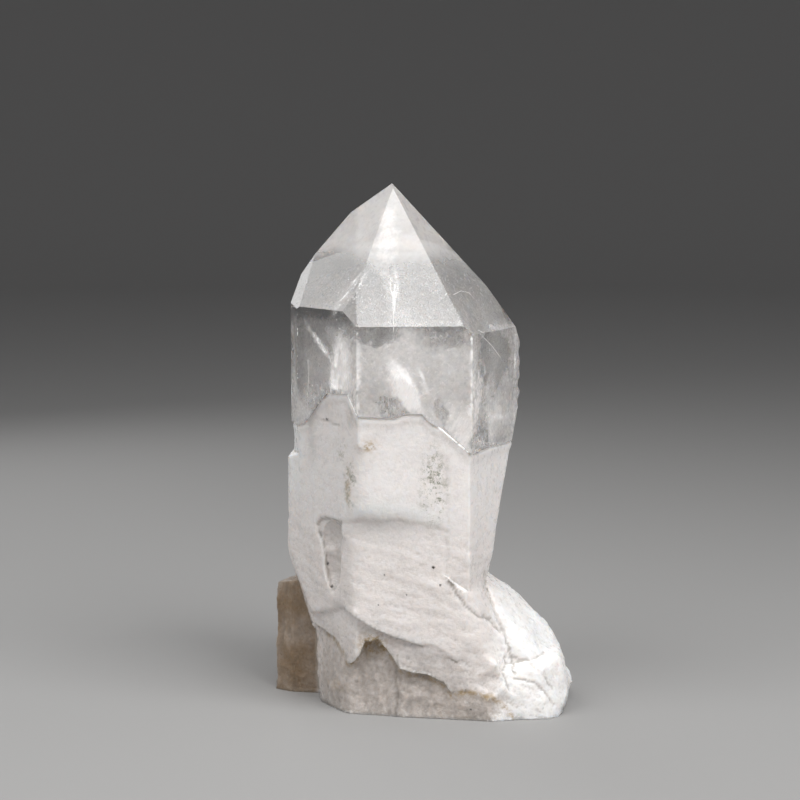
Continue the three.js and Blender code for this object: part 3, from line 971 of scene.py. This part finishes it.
    def _stay_in_box(self, bm: bmesh.types.BMesh) -> None:
        """Keeps every corner inside the box of the solid."""
        low, high = CAD_BOX
        for vert in bm.verts:
            vert.co = Vector(min(max(c, a), b) for c, a, b in zip(vert.co, low, high))


class Interior:
    """Tells how deep a place lies inside the solid."""

    def __init__(self) -> None:
        """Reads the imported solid."""
        solid = bmesh.new()
        solid.from_mesh(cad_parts[NODE].data)
        self.tree = BVHTree.FromBMesh(solid)
        solid.free()

    def depth(self, co: Vector) -> float:
        """Returns the distance below the surface in millimetres, less than 0 outside."""
        at, normal, _, away = self.tree.find_nearest(co)
        return (away if (co - at).dot(normal) < 0 else -away) / MM


@dataclass
class Sheet:
    """A thin sheet of milky inclusions in the clear part, which its finish breaks into patches.

    Attributes:
        name: its piece name.
        centre: its middle in the design frame.
        width: its width in millimetres.
        height: its height in millimetres.
        turn: the compass direction that it faces, 0 for the front and 90 for the right.
        lean: degrees that its top leans back.
        roll: degrees that it is turned in its own plane, clockwise from the front.
        dense: its highest alpha.
        grain: size of its patches in millimetres.
        streak: how much longer than wide its patches are.
        bend: depth of its waves in millimetres.
        seed: start of its pattern.
        cell: size of its facets in millimetres.
        fade: how far below the surface it is faint, from where it ends to where it is dense.
    """

    name: str
    centre: tuple[float, float, float]
    width: float
    height: float
    turn: float = 0.0
    lean: float = 0.0
    roll: float = 0.0
    dense: float = 0.5
    grain: float = 8.0
    streak: float = 1.5
    bend: float = 2.0
    seed: float = 0.0
    cell: float = 1.2
    fade: tuple[float, float] = (0.5, 2.6)

    def build(self, material: bpy.types.Material, interior: Interior) -> bpy.types.Object:
        """Builds the sheet and cuts off what would stick out of the crystal.

        Args:
            material: its finish.
            interior: the inside of the crystal.

        Returns:
            The new piece.
        """
        bm = bmesh.new()
        bmesh.ops.create_grid(bm, x_segments=round(self.width / self.cell),
                              y_segments=round(self.height / self.cell), size=0.5)
        bmesh.ops.scale(bm, vec=(self.width, self.height, 1.0), verts=bm.verts)
        edge = bm.verts.layers.float.new("edge")
        sheet = bm.verts.layers.float_vector.new("sheet")
        for vert in bm.verts:
            u, v = 2 * vert.co.x / self.width, 2 * vert.co.y / self.height
            vert[edge] = self.dense * fall(0.3, 1.0, math.sqrt(u * u + v * v))
            vert[sheet] = Vector((vert.co.x / self.grain, vert.co.y / (self.grain * self.streak), self.seed))
            wave = Vector((vert.co.x / 12.0, vert.co.y / 12.0, self.seed))
            vert.co.z += self.bend * noise.fractal(wave, 0.8, 2.0, 3)
        for face in bm.faces:
            face.smooth = True
        bmesh.ops.transform(bm, matrix=self._frame(), verts=bm.verts)
        outside = []
        for vert in bm.verts:
            depth = interior.depth(vert.co)
            vert[edge] *= smoothstep(*self.fade, depth)
            if depth < self.fade[0]:
                outside.append(vert)
        bmesh.ops.delete(bm, geom=outside, context="VERTS")
        return add_piece(self.name, bm, material)

    def _frame(self) -> Matrix:
        """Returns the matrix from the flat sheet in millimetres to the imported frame."""
        turned = Euler((math.radians(90 - self.lean), 0.0, math.radians(self.turn))).to_matrix().to_4x4()
        rolled = Matrix.Rotation(math.radians(-self.roll), 4, "Z")
        return Matrix.Translation(place(*self.centre)) @ turned @ rolled @ Matrix.Scale(MM, 4)


@dataclass
class Sparks:
    """Tiny bright flakes, joined in one piece.

    Attributes:
        name: the piece's name.
        centre: their middle in the design frame.
        reach: how far they lie from it sideways, in depth and upwards in millimetres.
        count: how many are drawn; those that would stick out of the crystal are left out.
        largest: radius of the largest in millimetres.
        seed: start of the random draws.
        turn: the compass direction that the cloud of flakes faces, 0 for the front.
        cover: the least depth of a flake below the surface in millimetres.
    """

    name: str
    centre: tuple[float, float, float]
    reach: tuple[float, float, float]
    count: int
    largest: float
    seed: int
    turn: float = 0.0
    cover: float = 0.8

    def build(self, material: bpy.types.Material, interior: Interior) -> bpy.types.Object:
        """Builds the flakes.

        Args:
            material: their finish.
            interior: the inside of the crystal.

        Returns:
            The new piece.
        """
        draw = random.Random(self.seed)
        bm = bmesh.new()
        facing = Matrix.Rotation(math.radians(self.turn), 3, "Z")
        for _ in range(self.count):
            away = facing @ Vector([reach * draw.gauss(0.0, 0.5) for reach in self.reach])
            at = place(*(Vector(self.centre) + away))
            size = self.largest * MM * draw.uniform(0.3, 1.0) ** 2
            turn = Euler([draw.uniform(0.0, math.tau) for _ in range(3)]).to_matrix().to_4x4()
            flat = Matrix.Diagonal((1.0, draw.uniform(0.4, 0.9), 0.25, 1.0))
            if interior.depth(at) > self.cover:
                bmesh.ops.create_icosphere(bm, subdivisions=1, radius=size,
                                           matrix=Matrix.Translation(at) @ turn @ flat)
        return add_piece(self.name, bm, material)


@dataclass
class EdgeChips:
    """Tiny white chips along a polished edge, joined in one piece.

    Attributes:
        name: the piece's name.
        start: one end of the edge in the design frame.
        end: its other end.
        count: how many chips.
        largest: radius of the largest in millimetres.
        seed: start of the random draws.
    """

    name: str
    start: tuple[float, float, float]
    end: tuple[float, float, float]
    count: int
    largest: float
    seed: int

    def build(self, material: bpy.types.Material) -> bpy.types.Object:
        """Builds the chips.

        Args:
            material: their finish.

        Returns:
            The new piece.
        """
        draw = random.Random(self.seed)
        a, b = place(*self.start), place(*self.end)
        bm = bmesh.new()
        for _ in range(self.count):
            size = self.largest * MM * draw.uniform(0.25, 1.0) ** 2
            at = a.lerp(b, draw.random())
            inward = Vector((-at.x, -at.y, 0.0)).normalized() * 0.7 * size
            spin = Matrix.Rotation(draw.uniform(0.0, math.tau), 4, "Z")
            across, deep = draw.uniform(0.6, 1.0), draw.uniform(0.6, 1.0)
            form = Matrix.Diagonal((across, deep, draw.uniform(0.8, 2.2), 1.0))
            bmesh.ops.create_icosphere(bm, subdivisions=1, radius=size,
                                       matrix=Matrix.Translation(at + inward) @ pointing(a, b) @ spin @ form)
        return add_piece(self.name, bm, material)


@dataclass
class Hairline:
    """A fine bright crack that runs through a few points.

    Attributes:
        name: its piece name.
        points: the points in the design frame.
        radius: half its thickness in millimetres.
    """

    name: str
    points: tuple[tuple[float, float, float], ...]
    radius: float = 0.11

    def build(self, material: bpy.types.Material) -> bpy.types.Object:
        """Builds the crack as a row of fine needles.

        Args:
            material: its finish.

        Returns:
            The new piece.
        """
        bm = bmesh.new()
        for start, end in zip(self.points, self.points[1:]):
            a, b = place(*start), place(*end)
            bmesh.ops.create_cone(bm, cap_ends=True, segments=6, radius1=self.radius * MM,
                                  radius2=0.6 * self.radius * MM, depth=(b - a).length,
                                  matrix=Matrix.Translation((a + b) / 2) @ pointing(a, b))
        return add_piece(self.name, bm, material)


@dataclass
class Inclusions:
    """The mists, veils, flakes and hairline cracks inside the clear part."""

    mists: tuple[Sheet, ...] = (
        Sheet("front_mist", (1, -20, 118), 50, 46, lean=5, dense=0.6, grain=9, streak=2.2, seed=31),
        Sheet("deep_mist", (2, 4, 116), 62, 60, turn=8, lean=8, dense=0.45, grain=14, bend=4, seed=35),
        Sheet("left_mist", (-25, -4, 116), 32, 46, turn=-55, lean=3, dense=0.25, grain=8, streak=2, seed=42),
        Sheet("right_mist", (27, -2, 110), 32, 40, turn=60, lean=3, dense=0.25, grain=8, seed=46),
        Sheet("low_mist", (-2, 0, 90), 66, 60, lean=88, dense=0.8, grain=14, bend=6, seed=51),
    )
    veils: tuple[Sheet, ...] = (
        Sheet("left_diagonal_veil", (-27, -9.6, 126.5), 3.0, 27, turn=-55, lean=2, roll=-53, dense=1.0,
              grain=3, streak=5, seed=24.0, bend=0.6, cell=0.6),
        Sheet("left_edge_wisps", (-18.9, -20.5, 142), 4.5, 24, turn=-50, lean=42, roll=10, dense=0.8,
              grain=2.4, streak=2.5, seed=4.1, bend=0.5, cell=0.6),
        Sheet("centre_second_veil", (4.9, -20, 113), 3.4, 18, turn=8, lean=3, roll=-18, dense=1.2, grain=5,
              streak=3.5, seed=9.2, bend=0.6, cell=0.6),
        Sheet("tall_wisps", (-5, -15, 141), 5, 26, turn=4, lean=40, roll=3, dense=0.6, grain=1.6,
              streak=6, seed=12.4, bend=0.6, cell=0.6),
        Sheet("right_veil", (26, -12, 104), 16, 30, turn=30, dense=0.6, grain=6, streak=1.5, seed=18.5,
              bend=1.5, cell=0.8),
    )
    clouds: tuple[Sheet, ...] = (
        Sheet("left_bright_veil", (-19.3, -21.3, 114.5), 16, 40, turn=-55, lean=3, roll=4, dense=1.3,
              grain=5, streak=3, seed=2.3, bend=1.0, cell=0.8),
        Sheet("centre_veil", (-0.8, -22, 112.5), 8, 25, turn=8, lean=3, roll=-30, dense=1.6, grain=5,
              streak=3.5, seed=7.7, bend=1, cell=0.8),
    )
    flakes: tuple[Sparks, ...] = (
        Sparks("right_sparks", (30.4, -10.6, 100), (5.5, 0.9, 3.0), 70, 0.75, 5, turn=65, cover=0.5),
        Sparks("left_sparks", (-31.0, -9.5, 104), (5.5, 2.5, 8.0), 150, 0.38, 6, turn=-55),
        Sparks("centre_sparks", (2, -18, 112), (14.0, 8.0, 14.0), 110, 0.32, 7),
        Sparks("edge_sparks", (-18, -18, 143), (4.0, 3.0, 12.0), 80, 0.34, 8),
    )
    cracks: tuple[Hairline, ...] = (
        Hairline("right_line", ((22.4, -24.0, 129.9), (26.8, -14.8, 125.0), (30.1, -7.7, 120.3))),
        Hairline("right_arc", ((12.5, -15.6, 139.6), (15.2, -8.2, 140.4), (18.0, -3.9, 139.6),
                               (20.1, -3.9, 137.2))),
        Hairline("left_long_line", ((-30.7, -4.5, 119.5), (-30.5, -4.8, 113.0), (-30.9, -4.2, 106.5)), 0.1),
        Hairline("small_line", ((-13.0, -28.3, 112.4), (-14.6, -28.4, 108.9)), 0.12),
        Hairline("front_upper_line", ((-5.7, -14.5, 146.0), (-5.6, -18.0, 142.0), (-4.2, -21.4, 138.4)),
                 0.12),
        Hairline("front_lower_line", ((-3.6, -18.5, 141.5), (-4.6, -24.0, 135.0), (-4.8, -27.6, 130.8)),
                 0.1),
    )
    chips: tuple[EdgeChips, ...] = (
        EdgeChips("right_front_edge_chips", (21.4, -33.3, 92.5), (21.4, -33.3, 129), 42, 0.62, 11),
        EdgeChips("right_edge_chips", (37.4, 1.0, 99), (37.6, 1.0, 130), 40, 0.7, 12),
        EdgeChips("left_edge_chips", (-37.5, -5.9, 98.5), (-37.5, -5.9, 136), 22, 0.4, 13),
        EdgeChips("left_front_edge_chips", (-16.4, -36.2, 105), (-16.4, -36.2, 132.5), 16, 0.35, 14),
        EdgeChips("polish_end_chips", (10.4, -34.1, 99.6), (21.3, -33.3, 90.4), 46, 0.45, 15),
        EdgeChips("lobe_edge_chips", (-19.9, -31.2, 110.2), (-16.7, -35.7, 103.8), 26, 0.4, 16),
        EdgeChips("right_glints", (26.8, -21.6, 101.6), (35.6, -2.8, 99.4), 34, 0.6, 17),
    )

    def build(self) -> list[bpy.types.Object]:
        """Builds all the inclusions.

        Returns:
            The new pieces.
        """
        inside = Interior()
        finishes = (
            (self.mists, SheetFinish("milky_mist", Pattern.MIST).make()),
            (self.veils, SheetFinish("white_veil", Pattern.VEIL, warp=0.4, glow=0.9).make()),
            (self.clouds, SheetFinish("white_cloud", Pattern.CLOUD, warp=0.4, glow=0.8).make()),
        )
        flake = FlakeFinish().make()
        pieces = [sheet.build(finish, inside) for sheets, finish in finishes for sheet in sheets]
        pieces += [sparks.build(flake, inside) for sparks in self.flakes]
        return pieces + [bright.build(flake) for bright in (*self.cracks, *self.chips)]


@dataclass
class Studio:
    """The pale floor, the soft lights and the camera at the photograph's viewing angle.

    Attributes:
        camera_place: the camera in the design frame.
        camera_pitch: degrees that the camera looks down.
        lens: millimetres on a 36 mm sensor.
        floor_radius: metres of flat floor round the crystal.
        bend_radius: metres of the bend between floor and wall.
        wall_height: metres.
        bend_steps: rows of faces in the bend.
        sky: the world's colour.
        lamps: name, place and target in the design frame, side in metres and watts of each lamp.
    """

    camera_place: tuple[float, float, float] = (-2.33, -700.0, 186.98)
    camera_pitch: float = 6.7
    lens: float = 91.35
    floor_radius: float = 2.4
    bend_radius: float = 1.6
    wall_height: float = 3.5
    bend_steps: int = 12
    sky: tuple[float, float, float] = (0.30, 0.30, 0.305)
    lamps: tuple[tuple[str, tuple, tuple, float, float], ...] = (
        ("key", (400, -400, 640), (0, 0, 90), 0.5, 5.2),
        ("top", (80, -230, 880), (-5, 0, 150), 0.30, 1.5),
        ("fill", (-430, -350, 640), (0, 0, 90), 0.6, 3.4),
        ("back", (-330, 520, 420), (0, 0, 90), 0.5, 1.0),
    )

    def build(self) -> None:
        """Builds floor, lights, sky and camera."""
        self._floor()
        self._sky()
        for lamp in self.lamps:
            self._light(*lamp)
        self._camera()
        bpy.context.scene.view_settings.view_transform = "Standard"

    def _floor(self) -> None:
        """Lays a plain floor at the crystal's underside, which bends up into a round wall far away."""
        bm = bmesh.new()
        bmesh.ops.create_circle(bm, cap_ends=True, segments=128, radius=self.floor_radius)
        rim = [e for e in bm.edges if e.is_boundary]
        for step in range(1, self.bend_steps + 2):
            angle = math.radians(90) * min(step, self.bend_steps) / self.bend_steps
            out = self.floor_radius + self.bend_radius * math.sin(angle)
            bent = self.bend_radius * (1 - math.cos(angle))
            up = bent if step <= self.bend_steps else self.wall_height
            grown = bmesh.ops.extrude_edge_only(bm, edges=rim)["geom"]
            rim = [e for e in grown if isinstance(e, bmesh.types.BMEdge) and e.is_boundary]
            for vert in {v for e in rim for v in e.verts}:
                flat = vert.co.xy.normalized() * out
                vert.co = Vector((flat.x, flat.y, up))
        for face in bm.faces:
            face.smooth = len(face.verts) == 4
        add_piece("floor", bm, FloorFinish().make())

    def _sky(self) -> None:
        """Gives the world an even soft light."""
        world = bpy.data.worlds.new("soft_studio")
        bpy.context.scene.world = world
        world.use_nodes = True
        background = world.node_tree.nodes["Background"]
        background.inputs["Color"].default_value = (*self.sky, 1.0)
        background.inputs["Strength"].default_value = 1.0

    def _light(self, name: str, at: tuple[float, float, float], target: tuple[float, float, float],
               size: float, power: float) -> None:
        """Adds a square soft light.

        Args:
            name: its name.
            at: its place in the design frame.
            target: the place that it faces in the design frame.
            size: its side in metres.
            power: watts.
        """
        data = bpy.data.lights.new(name, "AREA")
        data.energy = power
        data.size = size
        light = bpy.data.objects.new(name, data)
        light.location = place(*at)
        light.rotation_euler = (place(*target) - light.location).to_track_quat("-Z", "Y").to_euler()
        bpy.context.scene.collection.objects.link(light)

    def _camera(self) -> None:
        """Sets the camera where the photograph was taken from."""
        data = bpy.data.cameras.new("camera")
        data.lens = self.lens
        data.sensor_width = 36.0
        camera = bpy.data.objects.new("camera", data)
        camera.location = place(*self.camera_place)
        camera.rotation_euler = Euler((math.radians(90 - self.camera_pitch), 0.0, 0.0))
        bpy.context.scene.collection.objects.link(camera)
        bpy.context.scene.camera = camera


def main() -> None:
    """Builds the crystal and its studio."""
    logging.basicConfig(level=logging.INFO, format="%(name)s: %(message)s")
    crystal = QuartzPoint().build()
    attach(crystal, BODY)
    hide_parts(NODE)
    log.info("%s: %d faces", crystal.name, len(crystal.data.polygons))
    for inclusion in Inclusions().build():
        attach(inclusion, BODY)
        log.info("%s: %d faces", inclusion.name, len(inclusion.data.polygons))
    Studio().build()


if __name__ == "__main__":
    main()
